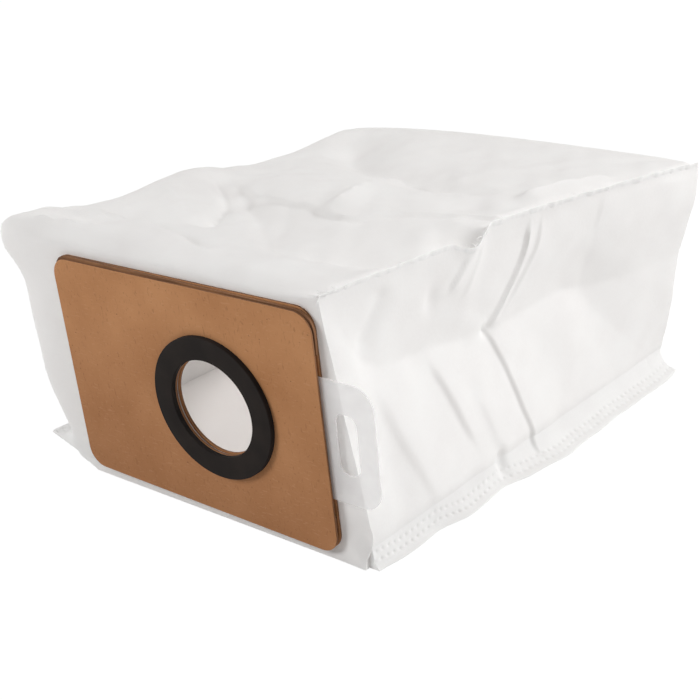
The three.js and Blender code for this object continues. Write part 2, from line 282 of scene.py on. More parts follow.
def relief(a, b, ledges, folds, dents):
    """The creases of one panel together."""
    return (
        sum(ledge(a, b, **shape) for shape in ledges)
        + sum(fold(a, b, **shape) for shape in folds)
        + sum(dent(a, b, **shape) for shape in dents)
    )


def smooth_line(depth, points, reach=4.0, samples=7):
    """Height or x of a line along the bag, with its corners rounded over the reach."""
    depths, values = zip(*points)
    offsets = np.linspace(-reach, reach, samples)
    return sum(np.interp(depth + offset, depths, values) for offset in offsets) / samples


def seam_height(depth):
    """Height of the welded seam between the top and the right side."""
    dip = SEAM_DIP * ease((depth - FOLD_DEPTH + SEAM_DIP_LENGTH) / SEAM_DIP_LENGTH)
    behind = clamp((depth - FOLD_DEPTH) / (BAG_DEPTH - FOLD_DEPTH))
    rear = mix(SEAM_FRONT + FOLD_RISE, REAR_CORNER, behind**REAR_FALL)
    return mix(SEAM_FRONT - dip, rear, ease((depth - FOLD_DEPTH) / FOLD_STEP))


def seam_x(depth):
    return CLOTH_RIGHT + SEAM_SKEW * depth / BAG_DEPTH


def belly_x(depth):
    return CLOTH_RIGHT + BELLY_OVERHANG + BELLY_SKEW * depth / BAG_DEPTH


def left_x(depth):
    skewed = CLOTH_LEFT + LEFT_SKEW * depth / BAG_DEPTH
    return skewed + FRONT_LEFT_TUCK * rounding(depth, FRONT_LEFT_ROUND)


def left_wall_x(depth, height, down):
    """Left wall: bulged in its middle, drawn in at its foot and pinched out at the top corner."""
    bulge = LEFT_BULGE * np.sin(math.pi * clamp(down)) * clamp(depth / FRONT_LEFT_ROUND)
    tuck = mix(FOOT_FRONT_TUCK, FOOT_REAR_TUCK, clamp(depth / FOOT_TUCK_DEPTH))
    tuck = tuck * (1 - ease(height / FOOT_LENGTH))
    return left_x(depth) - bulge + tuck - dent(depth, height, **PINCH)


# Creases of the right side, as depth and height. The long one is shaped like an arrowhead.
ARROW_FRONT = [(86.5, 92), (87.3, 85), (87, 78), (84, 70), (80.5, 63), (76, 56)]
ARROW_BACK = [(92, 93), (92.3, 86), (91.6, 78), (88, 70.7), (83.5, 62.5), (79, 57)]
ARROW_LOWER = [(73.6, 54.5), (76.1, 47.7), (79, 39.5), (81.7, 24.5), (84.5, 13), (87, 3)]
FRONT_CREASE = [(43.5, 57), (46.5, 48), (49.8, 38.5), (53, 26), (57, 15)]
WEDGE_CREASE = [(60, 39), (62.5, 30), (65, 21), (67, 10), (69, 4)]
COLLAR_CREASE = [(17.5, 57), (19.5, 47), (22.5, 36), (28.5, 16), (32, 5)]
KINK_CREASE = [(61, 90), (59, 86.5), (56, 80.5), (52, 75)]
KINK_SIDE_CREASE = [(66, 92), (65, 86), (62, 78), (58, 70)]
SEAM_CREASE = [(25, 89), (22, 82), (17, 75), (13.5, 69)]
SIDE_LEDGES = [
    dict(points=ARROW_FRONT, rise=(0.9, 2.2), fall=(0.9, 12), sharp=0.4, fade=(0.2, 0.04)),
    dict(points=ARROW_BACK, rise=(0.8, 9), fall=(0.3, 2), sharp=0.6, fade=0.3),
    dict(points=ARROW_LOWER, rise=(0.6, 9), fall=(0.85, 10), sharp=0.4, fade=(0.04, 0.03)),
    dict(points=FRONT_CREASE, rise=(1.0, 8), fall=(0.8, 8), sharp=0.9, fade=0.3),
    dict(points=WEDGE_CREASE, rise=(1.0, 8), fall=(0.8, 8), sharp=2.4, fade=0.35),
    dict(points=COLLAR_CREASE, rise=(1.3, 9), fall=(0.8, 8), sharp=1.8, fade=0.3),
    dict(points=KINK_CREASE, rise=(0.9, 4), fall=(0.5, 5), sharp=0.5, fade=0.25),
    dict(points=KINK_SIDE_CREASE, rise=(0.5, 4), fall=(0.4, 5), sharp=0.7, fade=0.3),
]
SIDE_FOLDS = [dict(points=SEAM_CREASE, height=-1.2, width=3.4)]
SIDE_DENTS = [
    dict(centre=(74, 54), height=-1.4, width=2.4, length=2.4),
    dict(centre=(67, 9), height=-1.8, width=2.2, length=3.6),
    dict(centre=(16, 30), height=-1.6, width=7.0, length=15.0),
    dict(centre=(46, 75), height=-1.3, width=3.0, length=5.0),
]
SIDE_WAVES = (0.22, 34, 11)
SIDE_RIPPLES = (0.09, 11, 12)
RIPPLE_STRETCH = 0.7
SIDE_CALM_FROM = 2.0
SIDE_CALM_FOOT = 8.0
SIDE_CALM_SEAM = 5.0

# The rear of the right side stands out behind this line, less and less towards the seam
REAR_BEND = [(122, 76), (122, 66), (121.5, 54), (127, 44), (136, 33), (156, 14), (168, 5)]
REAR_BEND_SLOPE = 0.15
REAR_BEND_REACH = 16.0
REAR_BEND_TOP = 96.0
REAR_BEND_FADE = 26.0


def side_x(depth, height):
    """Right wall: two leaning planes that meet at the waist, with its creases."""
    top = seam_height(depth)
    level = clamp((height - BELLY_HEIGHT) / (top - BELLY_HEIGHT))
    waist = smooth_line(depth, WAIST_LINE, WAIST_REACH)
    over = clamp((top - height) / (top - waist), 0, WAIST_LIMIT)
    under = clamp((height - BELLY_HEIGHT) / (waist - BELLY_HEIGHT), 0, WAIST_LIMIT)
    tent = -np.log(np.exp(-WAIST_SHARP * over) + np.exp(-WAIST_SHARP * under)) / WAIST_SHARP
    x = mix(belly_x(depth), seam_x(depth), level) - smooth_line(depth, WAIST_PULL) * tent
    rear = bend(depth, height, REAR_BEND, REAR_BEND_SLOPE, REAR_BEND_REACH)
    crease = (
        relief(depth, height, SIDE_LEDGES, SIDE_FOLDS, SIDE_DENTS)
        + rear * ease((REAR_BEND_TOP - height) / REAR_BEND_FADE)
        + waves(depth, height, SIDE_WAVES)
        + waves(depth, height * RIPPLE_STRETCH, SIDE_RIPPLES)
    )
    calm = ease((height - SIDE_CALM_FROM) / SIDE_CALM_FOOT) * ease((top - height) / SIDE_CALM_SEAM)
    return x + calm * crease


# Folds of the top, as depth and x. The crest is where the bag was folded flat: a crisp step
# down towards the collar, with a long valley before it.
CREST = [
    (77, 84), (76, 73), (75, 67), (72.5, 59), (70, 50), (66, 41), (62.5, 36), (57.5, 30), (57, 22),
    (63.5, 7), (67, -10), (70, -24), (76, -37), (83, -50), (92, -62),
]
VALLEY = [
    (80, -42), (68, -29), (57, -15), (48, -5), (39, 5), (33, 13), (31.5, 23), (32, 34), (34, 43),
    (39, 56), (48, 68), (57, 76),
]
POCKET = [(88, -66), (80, -56), (73, -45), (64, -36), (54.5, -30), (46, -26), (39, -27), (33, -36)]
POCKET_RIM = [(66, -68), (59, -61), (52, -50), (45, -38)]
FRONT_STEP = [(34, -76), (29, -63), (26, -53), (24, -39), (20.5, -21), (16, -6), (13, 8)]
FAN_RIDGE = [(59, 13), (69, 16), (84, 15.5), (98, 14.5), (114, 12)]
SEAM_RIDGE = [(92, 71), (101, 75), (113, 78), (130, 84), (140, 87)]
REAR_VALLEY = [
    (166, -54), (148, -42), (134, -30), (124, -14), (118, 4), (109, 26), (102, 46), (95, 64),
]
FRONT_STREAK = [(4, -86), (6, -72), (9, -56), (11, -38)]
SECOND_STREAK = [(15, -88), (16, -74), (18, -60), (20, -46)]
TOP_LEDGES = [
    dict(points=CREST, rise=(0.9, 20), fall=(0.8, 8), sharp=0.5, fade=(0.02, 0.25)),
    dict(points=FRONT_STEP, rise=(2.1, 14), fall=(2.1, 12), sharp=1.4, fade=0.25),
]
TOP_FOLDS = [
    dict(points=VALLEY, height=-4.2, width=(6, 14), sharpness=1.3, fade=(0.15, 0.06)),
    dict(points=POCKET, height=-5.0, width=(4.5, 13), sharpness=1.2, fade=(0.2, 0.25)),
    dict(points=POCKET_RIM, height=2.0, width=5.0, fade=0.25),
    dict(points=FAN_RIDGE, height=3.0, width=4.5, sharpness=1.3),
    dict(points=SEAM_RIDGE, height=3.0, width=3.2, sharpness=1.3),
    dict(points=REAR_VALLEY, height=-4.6, width=9.0, sharpness=1.3),
    dict(points=FRONT_STREAK, height=1.9, width=2.4, fade=0.3),
    dict(points=SECOND_STREAK, height=1.9, width=2.4, fade=0.3),
]
TOP_DENTS = [
    dict(centre=(83, 57), height=-2.4, width=8.0, length=9.0),
    dict(centre=(57, 73), height=-2.6, width=8.0, length=8.0),
]
TOP_WAVES = [(0.6, 44, 21), (0.26, 13, 22)]
TOP_CALM_SEAM = 6.0
TOP_CALM_FRONT = 8.0
TOP_CALM_REAR = 10.0


def left_edge_height(depth):
    """Height of the long edge at the top left, without its drop at the front."""
    return smooth_line(depth, LEFT_EDGE, LEFT_EDGE_REACH)


def front_drop(depth):
    return FRONT_TOP_DROP * rounding(depth, FRONT_TOP_ROUND)


def top_z(depth, x):
    left = left_x(depth)
    right = seam_x(depth)
    across = clamp((x - left) / (right - left))
    soft_z = smooth_line(depth, SOFT_SEAM, SOFT_SEAM_REACH)
    right_z = mix(seam_height(depth), soft_z, ease((right - x) / SEAM_STRIP))
    rear = ease((depth - BAG_DEPTH + REAR_CROWN_FROM) / REAR_CROWN_GROWTH)
    crown = CROWN * np.sin(math.pi * across)
    crown = crown + REAR_CROWN * np.sin(math.pi * across**REAR_CROWN_LEAN) * rear
    drop = front_drop(depth) * np.minimum(1, FRONT_DROP_GROWTH * (1 - across))
    z = mix(left_edge_height(depth), right_z, across) + crown - drop
    detail = relief(depth, x, TOP_LEDGES, TOP_FOLDS, TOP_DENTS) + waves(depth, x, *TOP_WAVES)
    calm = ease((right - x) / TOP_CALM_SEAM) * ease(depth / TOP_CALM_FRONT)
    calm = calm * ease((BAG_DEPTH - depth) / TOP_CALM_REAR)
    beside = (right - x - GROOVE_OFFSET) / GROOVE_WIDTH
    groove = GROOVE_SINK * np.exp(-(beside**2)) * ease(depth / GROOVE_FADE)
    return z + calm * detail - groove


# The front panel rolls forward at its foot, and a fold of it shows at its lower right corner
ROLL = 1.8
ROLL_TOP = 3.8
ROLL_HEIGHT = 3.0
ROLL_LEFT = -66.0
ROLL_FADE = 8.0
ROLL_BULGE = dict(centre=(66, 4.6), height=2.2, width=4.2, length=3.4)
ROLL_VALLEY = dict(centre=(67.5, 12.6), height=-1.4, width=4.2, length=2.6)


def front_relief(x, height):
    """How far the front panel stands forward."""
    rolled = ROLL * ease((ROLL_TOP - height) / ROLL_HEIGHT) * ease((x - ROLL_LEFT) / ROLL_FADE)
    return rolled + dent(x, height, **ROLL_BULGE) + dent(x, height, **ROLL_VALLEY)


def row_points(points):
    """Bag coordinates in millimetres to the row frame in metres."""
    return np.asarray(points) * MM + (MIDDLE_X, CLOTH_Y, 0.0)


def link(name, data):
    """A new object in the scene."""
    made = bpy.data.objects.new(name, data)
    bpy.context.scene.collection.objects.link(made)
    return made


# Edges that turn by fewer degrees than this are shaded smooth
SMOOTH = 40
SMOOTH_CLOTH = 38
SMOOTH_RUBBER = 35
SMOOTH_FLAT = 30


def make_piece(name, points, faces, body, slot, material, replaces=(), smooth=SMOOTH):
    """A piece of the bag, from points in the row frame."""
    mesh = bpy.data.meshes.new(name)
    mesh.from_pydata(np.asarray(points).reshape(-1, 3).tolist(), [], faces)
    mesh.validate()
    mesh.polygons.foreach_set("use_smooth", [True] * len(mesh.polygons))
    mesh.set_sharp_from_angle(angle=math.radians(smooth))
    mesh.materials.append(material)
    piece = link(name, mesh)
    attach(piece, body)
    if replaces:
        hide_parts(*replaces)
    return piece


def cloth_piece(name, points, faces, **more):
    """A piece of the white cloth, from points in bag coordinates."""
    return make_piece(name, row_points(points), faces, "bag", "white_cloth", CLOTH_WHITE, **more)


def ring_faces(rows, count, close_rows=False):
    """Quads between rows of points that each run round in a closed loop."""
    faces = []
    last = rows if close_rows else rows - 1
    for k in range(last):
        near, far = k * count, (k + 1) % rows * count
        for i in range(count):
            j = (i + 1) % count
            faces.append((near + i, near + j, far + j, far + i))
    return faces


def tube_faces(rows, count, flip=False):
    """Quads along a tube and a cap on each of its ends. flip turns them the other way out."""
    last = (rows - 1) * count
    faces = ring_faces(rows, count)
    faces += [tuple(range(count))[::-1], tuple(range(last, last + count))]
    return [face[::-1] for face in faces] if flip else faces


def arc(x, z, radius, start, end, steps=10):
    """Points of an arc in the front view, from one angle to another."""
    turn = np.radians(np.linspace(start, end, steps + 1))
    return np.stack([x + radius * np.cos(turn), z + radius * np.sin(turn)], axis=-1)


def port_circle(points, radius):
    """Points of a circle round the port, each in the direction of one of the given points."""
    angle = np.arctan2(points[:, 1] - PORT_Z, points[:, 0] - PORT_X)
    return np.stack([PORT_X + radius * np.cos(angle), PORT_Z + radius * np.sin(angle)], axis=-1)


def at_depth(flat, depth):
    """Points of the front view, x and height, set at a depth."""
    return np.insert(flat, 1, depth, axis=1)


class Signal:
    """A number from a node that can be worked with in plain expressions."""

    def __init__(self, nodes, socket):
        self.nodes = nodes
        self.socket = socket

    def _math(self, operation, first, second):
        node = self.nodes.add("ShaderNodeMath", {"operation": operation}, {0: first, 1: second})
        return Signal(self.nodes, node.outputs[0])

    def __add__(self, other):
        return self._math("ADD", self, other)

    def __radd__(self, other):
        return self._math("ADD", other, self)

    def __mul__(self, other):
        return self._math("MULTIPLY", self, other)

    def __rmul__(self, other):
        return self._math("MULTIPLY", other, self)

    def either(self, other):
        """1 where either of two masks is 1."""
        return self._math("MAXIMUM", self, other)


class Nodes:
    """The nodes of a material or of the world."""

    def __init__(self, owner, output):
        self.owner = owner
        owner.use_nodes = True
        self.tree = owner.node_tree
        self.tree.nodes.clear()
        self.output = self.add(output, {}, {})

    def add(self, kind, settings, inputs):
        node = self.tree.nodes.new(kind)
        for name, value in settings.items():
            setattr(node, name, value)
        for socket, value in inputs.items():
            self.feed(node.inputs[socket], value)
        return node

    def feed(self, socket, value):
        if isinstance(value, Signal):
            value = value.socket
        if isinstance(value, bpy.types.NodeSocket):
            self.tree.links.new(value, socket)
        else:
            socket.default_value = value

    def mix_shader(self, factor, first, second):
        return self.add("ShaderNodeMixShader", {}, {0: factor, 1: first, 2: second}).outputs[0]

    def finish(self, shader):
        self.feed(self.output.inputs["Surface"], shader)
        return self.owner


class Finish(Nodes):
    """One material and the nodes in it."""

    def __init__(self, name):
        super().__init__(bpy.data.materials.new(name), "ShaderNodeOutputMaterial")

    def where(self):
        """Object coordinates in metres."""
        return self.add("ShaderNodeTexCoord", {}, {}).outputs["Object"]

    def place(self, scale=(1, 1, 1), turn=(0, 0, 0)):
        """Object coordinates, scaled and turned."""
        inputs = {"Vector": self.where(), "Scale": scale, "Rotation": turn}
        return self.add("ShaderNodeMapping", {}, inputs).outputs[0]

    def height(self):
        """Height above the floor in metres."""
        return Signal(self, self.add("ShaderNodeSeparateXYZ", {}, {0: self.where()}).outputs["Z"])

    def noise(self, where, scale, detail, distortion=0.0):
        inputs = {"Vector": where, "Scale": scale, "Detail": detail, "Distortion": distortion}
        return Signal(self, self.add("ShaderNodeTexNoise", {}, inputs).outputs["Fac"])

    def spread(self, value, low, high):
        """0 at low, 1 at high, and straight between."""
        inputs = {0: value, 1: low, 2: high, 3: 0.0, 4: 1.0}
        return Signal(self, self.add("ShaderNodeMapRange", {"clamp": True}, inputs).outputs[0])

    def mix(self, factor, first, second):
        inputs = {0: factor, 6: first, 7: second}
        return self.add("ShaderNodeMix", {"data_type": "RGBA"}, inputs).outputs[2]

    def bump(self, height, strength, distance):
        inputs = {"Height": height, "Strength": strength, "Distance": distance}
        return self.add("ShaderNodeBump", {}, inputs).outputs[0]

    def surface(self, **inputs):
        named = {name.replace("_", " "): value for name, value in inputs.items()}
        return self.add("ShaderNodeBsdfPrincipled", {}, named).outputs[0]

    def emission(self, strength):
        inputs = {"Color": WHITE, "Strength": strength}
        return self.add("ShaderNodeEmission", {}, inputs).outputs[0]


def linear(red, green, blue):
    """An sRGB colour, 0 to 255, as the linear colour that a shader takes."""
    channels = [c / 255 for c in (red, green, blue)]
    bent = [c / 12.92 if c <= 0.04045 else ((c + 0.055) / 1.055) ** 2.4 for c in channels]
    return (*bent, 1.0)


WHITE = (1, 1, 1, 1)
CLOTH_COLOURS = (linear(247, 246, 245), linear(252, 252, 251))
CLOTH_GLOW = linear(251, 249, 248)
KRAFT_COLOURS = (linear(177, 121, 75), linear(194, 138, 92))
# Painted shade for the lower part of the card
KRAFT_PAINTED_SHADE = linear(128, 80, 46)
PALE_FIBRE = linear(205, 158, 118)
DARK_FIBRE = linear(132, 84, 51)
KRAFT_SPECK = linear(98, 60, 36)
# Cut edges: partly their own darker brown, partly painted shade of the shaded top edges and the gap
# between the cards
EDGE_AND_SHADE_COLOURS = (linear(98, 64, 41), linear(150, 106, 71))
RUBBER_COLOURS = (linear(25, 20, 18), linear(34, 28, 25))
FILM_COLOURS = (linear(246, 244, 244), linear(250, 249, 249))


def white_cloth(name, glow_share):
    """White non-woven. Its glow share is how much light it passes on."""
    finish = Finish(name)
    cloud = finish.noise(finish.place(), 60, detail=3)
    fibres_along = finish.noise(finish.place((300, 2600, 900)), 1.0, detail=2)
    fibres_across = finish.noise(finish.place((2600, 500, 700), (0, 0, 0.5)), 1.0, detail=2)
    fibre = fibres_along * 0.5 + fibres_across * 0.5
    colour = finish.mix(finish.spread(cloud * 0.6 + fibre * 0.4, 0.35, 0.65), *CLOTH_COLOURS)
    normal = finish.bump(fibre, 0.25, 0.00025)
    cloth = finish.surface(Base_Color=colour, Roughness=0.95, Normal=normal)
    glow = finish.add("ShaderNodeBsdfTranslucent", {}, {"Color": CLOTH_GLOW}).outputs[0]
    return finish.finish(finish.mix_shader(glow_share, cloth, glow))


def kraft_board():
    """Brown card with pale and dark fibres, a few specks, and painted shade that darkens it towards
    the floor.
    """
    finish = Finish("kraft_board")
    where = finish.place()
    cloud = finish.noise(where, 45, detail=4)
    lying = finish.place((420, 900, 1500), (0, 0.25, 0))
    standing = finish.place((1300, 900, 420), (0, -0.3, 0))
    short = finish.noise(lying, 1.0, detail=2, distortion=0.6)
    cross = finish.noise(standing, 1.0, detail=2, distortion=0.6)
    layers = [
        # Painted shade: the card's colour darkens towards its foot, where less light falls
        (finish.spread(finish.height(), 0.075, 0.01) * 0.32, KRAFT_PAINTED_SHADE),
        (finish.spread(short, 0.58, 0.7) * 0.22, PALE_FIBRE),
        (finish.spread(cross, 0.6, 0.72) * 0.35, DARK_FIBRE),
        (finish.spread(finish.noise(where, 900, detail=1), 0.72, 0.78) * 0.5, KRAFT_SPECK),
    ]
    colour = finish.mix(finish.spread(cloud, 0.3, 0.7), *KRAFT_COLOURS)
    for share, tint in layers:
        colour = finish.mix(share, colour, tint)
    normal = finish.bump(short * 0.5 + cross * 0.3 + cloud * 0.4, 0.35, 0.0002)
    roughness = 0.78 + 0.14 * cloud
    return finish.finish(finish.surface(Base_Color=colour, Roughness=roughness, Normal=normal))


def board_edge_and_shade():
    """Cut edge of the card, with its layers. Its dark brown is partly the cut edge's own tone and
    partly painted shade of the shaded edges and the gap between the cards.
    """
    finish = Finish("board_edge_and_shade")
    layers = finish.noise(finish.place((60, 6000, 60)), 1.0, detail=1)
    rough = finish.noise(finish.place(), 1400, detail=2)
    colour = finish.mix(finish.spread(layers, 0.35, 0.65), *EDGE_AND_SHADE_COLOURS)
    normal = finish.bump(rough, 0.5, 0.0002)
    return finish.finish(finish.surface(Base_Color=colour, Roughness=0.92, Normal=normal))


def seal_rubber():
    """Matt black rubber."""
    finish = Finish("seal_rubber")
    fine = finish.noise(finish.place(), 1800, detail=2)
    cloud = finish.noise(finish.place(), 90, detail=2)
    colour = finish.mix(finish.spread(cloud, 0.35, 0.65), *RUBBER_COLOURS)
    normal = finish.bump(fine, 0.3, 0.0001)
    inputs = {"Base_Color": colour, "Roughness": 0.82, "Normal": normal, "Specular_IOR_Level": 0.2}
    return finish.finish(finish.surface(**inputs))


def frosted_film():
    """Frosted plastic film that what lies behind it shows through."""
    finish = Finish("frosted_film")
    fine = finish.noise(finish.place(), 2600, detail=2)
    cloud = finish.noise(finish.place(), 120, detail=2)
    normal = finish.bump(fine, 0.2, 0.00005)
    colour = finish.mix(finish.spread(cloud, 0.3, 0.7), *FILM_COLOURS)
    alpha = 0.35 + 0.06 * cloud
    film = finish.surface(Base_Color=colour, Roughness=0.35, Alpha=alpha, Normal=normal)
    return finish.finish(film)


CLOTH_WHITE = white_cloth("white_nonwoven", 0.24)
LINING = white_cloth("nonwoven_lining", 0.82)
KRAFT = kraft_board()
KRAFT_EDGE_AND_SHADE = board_edge_and_shade()
RUBBER = seal_rubber()
FILM = frosted_film()

# The bag's body: rings from the hole behind the port, over the front panel, along the bag
# and over the rear panel to its middle. After the first depths come steps up to each depth.
FRONT_DEPTHS = [0, 0.25, 0.8, 1.7, 3.0, 4.6, 6.4, 8.2, 10.0]
DEPTH_STEPS = [(40, 1.1), (72, 0.8), (94, 0.5), (126, 1.1), (172, 1.6)]
LAST_STEP = 0.8
WALL_POINTS = 96
TOP_POINTS = 96
CORNER_POINTS = 12
LEFT_POINTS = 22
BOTTOM_POINTS = 16
FOOT_SHARE = 0.1
TOP_CROWDING = 1.2
FRONT_RINGS = 10
FRONT_CROWDING = 0.8
FRONT_RELIEF_FADE = 2.5
REAR_RINGS = 12
REAR_LAST_RING = 0.985
REAR_TUCK = 0.4
REAR_ROUNDNESS = 0.8
REAR_WAVES = (0.8, 52, 41)
REAR_WAVES_GROWTH = 4
BOTTOM_CLEARANCE = 0.25


def right_foot_tuck(height):
    """How far the right wall is drawn in below the belly."""
    up = clamp((height - ROOT_HEIGHT) / (BELLY_HEIGHT - ROOT_HEIGHT))
    return ROOT_TUCK * (1 - np.sin(up * math.pi / 2))


def body_rings(depths):
    """One closed loop of points for each depth, anticlockwise as seen from the collar."""
    depth = np.array(depths)[:, None]
    share = np.linspace(0, 1, WALL_POINTS)[None, :]
    foot = clamp(share / FOOT_SHARE)
    wall = clamp((share - FOOT_SHARE) / (1 - FOOT_SHARE))
    low = mix(ROOT_HEIGHT, BELLY_HEIGHT, foot) + 0 * depth
    right_z = np.where(share < FOOT_SHARE, low, mix(BELLY_HEIGHT, seam_height(depth), wall))
    right_x = side_x(depth + 0 * share, right_z) - right_foot_tuck(right_z)

    across = 1 - np.linspace(0, 1, TOP_POINTS + 1)[None, 1:] ** TOP_CROWDING
    panel_x = mix(left_x(depth) + CORNER_WIDTH, seam_x(depth), across)
    panel_z = top_z(depth + 0 * across, panel_x)

    knee_z = left_edge_height(depth) - front_drop(depth)
    wall_top = knee_z - CORNER_HEIGHT
    knee_x = left_wall_x(depth, wall_top, 0)
    t = np.linspace(0, 1, CORNER_POINTS + 1)[None, 1:]
    corner_x = bow(panel_x[:, -1:], knee_x, knee_x, t)
    corner_z = bow(panel_z[:, -1:], knee_z, wall_top, t)

    down = np.linspace(0, 1, LEFT_POINTS + 1)[None, 1:]
    left_z = mix(wall_top, ROOT_HEIGHT, down)
    waved = waves(depth, left_z, LEFT_WAVES) * np.sin(math.pi * down)
    left = left_wall_x(depth, left_z, down) + waved

    along = np.linspace(0, 1, BOTTOM_POINTS)[None, :]
    bottom_x = mix(left[:, -1:], right_x[:, :1], along)
    bottom_z = BOTTOM_CLEARANCE + 0 * bottom_x

    x = np.concatenate([right_x, panel_x, corner_x, left, bottom_x], axis=1)
    z = np.concatenate([right_z, panel_z, corner_z, left_z, bottom_z], axis=1)
    forward = front_relief(x, z) * np.exp(-depth / FRONT_RELIEF_FADE)
    return np.stack([x, depth - forward, z], axis=-1)


def rear_ring(ring, share):
    """The last ring drawn in towards the middle of the rear panel, with the panel's bulge."""
    centre = np.array([ring[:, 0].mean(), 0, ring[:, 2].mean()])
    drawn = mix(ring, centre, share)
    bulge = REAR_BULGE * math.sin(share * math.pi / 2) ** REAR_ROUNDNESS
    strength = min(1, share * REAR_WAVES_GROWTH) * (1 - share)
    creases = waves(drawn[:, 0], drawn[:, 2], REAR_WAVES) * strength
    drawn[:, 1] = ring[:, 1] + bulge + creases - REAR_TUCK
    return drawn


def front_ring(first, share):
    """A ring between the hole behind the port, share 0, and the first ring of the bag."""
    rim = first[:, [0, 2]]
    flat = mix(port_circle(rim, CLOTH_HOLE), rim, share**FRONT_CROWDING)
    return at_depth(flat, -front_relief(*flat.T))


def apply_modifiers(piece):
    """The piece's mesh becomes what its modifiers make of it."""
    bpy.context.view_layer.update()
    evaluated = piece.evaluated_get(bpy.context.evaluated_depsgraph_get())
    mesh = bpy.data.meshes.new_from_object(evaluated)
    piece.modifiers.clear()
    piece.data = mesh


def cloth_body():
    """The white bag in one skin, which then gets its thickness on the inside."""
    depths = list(FRONT_DEPTHS)
    for until, step in DEPTH_STEPS:
        while depths[-1] + step < min(until, BAG_DEPTH - LAST_STEP):
            depths.append(depths[-1] + step)
    rings = body_rings(depths + [BAG_DEPTH])
    outwards = np.linspace(0, 1, FRONT_RINGS, endpoint=False)
    inwards = np.linspace(0, REAR_LAST_RING, REAR_RINGS + 1)[1:]
    front = [front_ring(rings[0], share) for share in outwards]
    rear = [rear_ring(rings[-1], share) for share in inwards]
    stack = np.array(front + list(rings) + rear)
    rows, count = stack.shape[:2]
    points = np.concatenate([stack.reshape(-1, 3), stack[-1].mean(axis=0, keepdims=True)])
    faces = [face[::-1] for face in ring_faces(rows, count)]
    final = (rows - 1) * count
    faces += [(final + (i + 1) % count, final + i, rows * count) for i in range(count)]
    piece = cloth_piece("cloth_body", points, faces, replaces=["cloth_bag"], smooth=SMOOTH_CLOTH)
    thickness = piece.modifiers.new("cloth_thickness", "SOLIDIFY")
    thickness.thickness = CLOTH * MM
    thickness.offset = -1
    thickness.material_offset = 1
    piece.data.materials.append(LINING)
    apply_modifiers(piece)


# Weld flanges: two layers of cloth pressed together, with two staggered rows of weld dots.
# A flange starts inside the foot of a wall, bends at its knee and ends flat.
FLANGE_STEP = 0.42
FLANGE_ACROSS = 30
FLANGE_THICKNESS = 0.7
FLANGE_START = 9.5
FLANGE_BURIED = 0.45
FLANGE_KNEE = 0.2
FLANGE_LIFT = 0.25
FLANGE_LIFT_WAVES = (0.25, 31, 52)
FLANGE_ROOT = 1.5
FLANGE_CLEARANCE = 0.1
FREE_EDGE_REACH = 2.5
FREE_EDGE_WAVES = (0.3, 23, 51)
FREE_EDGE_DROP = 0.35
FREE_EDGE_ROUND = 0.3
DOT_PITCH = 2.9
DOT_ROWS = (2.9, 5.8)
DOT_LENGTH = 0.66
DOT_WIDTH = 0.5
DOT_SINK = 0.45


def right_wall(depth, height):
    return side_x(depth, height + 0 * depth) - right_foot_tuck(height)


def left_wall(depth, height):
    return left_wall_x(depth, height, 1.0)


def weld_dots(along, from_edge):
    """How far the weld press has sunk the cloth, 0 between dots and 1 in a dot."""
    sunk = np.zeros(np.broadcast(along, from_edge).shape)
    for row, distance in enumerate(DOT_ROWS):
        shifted = along + row * DOT_PITCH / 2
        offset = (shifted + DOT_PITCH / 2) % DOT_PITCH - DOT_PITCH / 2
        away = (offset / DOT_LENGTH) ** 2 + ((from_edge - distance) / DOT_WIDTH) ** 2
        sunk = np.maximum(sunk, np.exp(-(away**1.5)))
    return sunk


def weld_flange(name, wall_x, free_edge, outwards):
    """A strip from the foot of a wall to its free edge. outwards is 1 on the right, else -1."""
    edge = np.array(free_edge)
    reached = reached_lengths(edge)
    along = np.arange(0, reached[-1], FLANGE_STEP)[:, None]
    depth = np.interp(along, reached, edge[:, 0])
    free_x = smooth_line(along, list(zip(reached, edge[:, 1])), FREE_EDGE_REACH)
    free_x = free_x + outwards * waves(along, 0, FREE_EDGE_WAVES)
    foot_x = wall_x(depth, FLANGE_START)
    start_x = foot_x - outwards * FLANGE_BURIED
    t = np.linspace(0, 1, FLANGE_ACROSS)[None, :]
    rest = FLANGE_THICKNESS + FLANGE_LIFT + waves(along, 0, FLANGE_LIFT_WAVES)
    x = bow(start_x, foot_x + outwards * FLANGE_KNEE, free_x, t)
    z = bow(FLANGE_START, rest, FLANGE_THICKNESS, t)

    steps = np.hypot(np.diff(x, axis=1), np.diff(z, axis=1))
    run = np.concatenate([0 * depth, np.cumsum(steps, axis=1)], axis=1)
    slant = np.gradient(depth[:, 0], FLANGE_STEP)[:, None]
    from_edge = (run[:, -1:] - run) * slant
    sink = DOT_SINK * weld_dots(along, from_edge)
    sideways, upwards = np.gradient(x, axis=1), np.gradient(z, axis=1)
    lean = upwards / np.maximum(np.hypot(sideways, upwards), 1e-6)
    z = z - sink * np.sqrt(np.maximum(1 - lean * lean, 0.05))
    z = z - FREE_EDGE_DROP * np.exp(-from_edge / FREE_EDGE_ROUND)
    x = x + outwards * sink * lean

    under_x = mix(start_x - outwards * FLANGE_ROOT, free_x, t)
    loop_x = np.concatenate([x, under_x[:, ::-1]], axis=1)
    loop_z = np.concatenate([z, FLANGE_CLEARANCE + 0 * x], axis=1)
    stack = np.stack([loop_x, depth + 0 * loop_x, loop_z], axis=-1)
    cloth_piece(name, stack, tube_faces(*loop_x.shape, flip=outwards > 0))


# Seam along the top of the right side: a thin welded ridge with a few loose fibres. Its
# section is given across, in thicknesses, and upwards, in heights.
SEAM_HIGH = 1.15
SEAM_THICK = 0.42
SEAM_SECTION = [(-0.5, -0.8), (0.5, -0.8), (0.42, 0.3), (0.18, 1.0), (-0.18, 1.0), (-0.42, 0.3)]
SEAM_LEAN = (0.45, 0.9)
SEAM_STEP = 0.7
SEAM_ENDS = (0.2, 0.4)
SEAM_SWAY = [(0.16, 6, 61), (0.08, 2.4, 63)]
SEAM_HIGH_WAVES = (0.25, 17, 62)


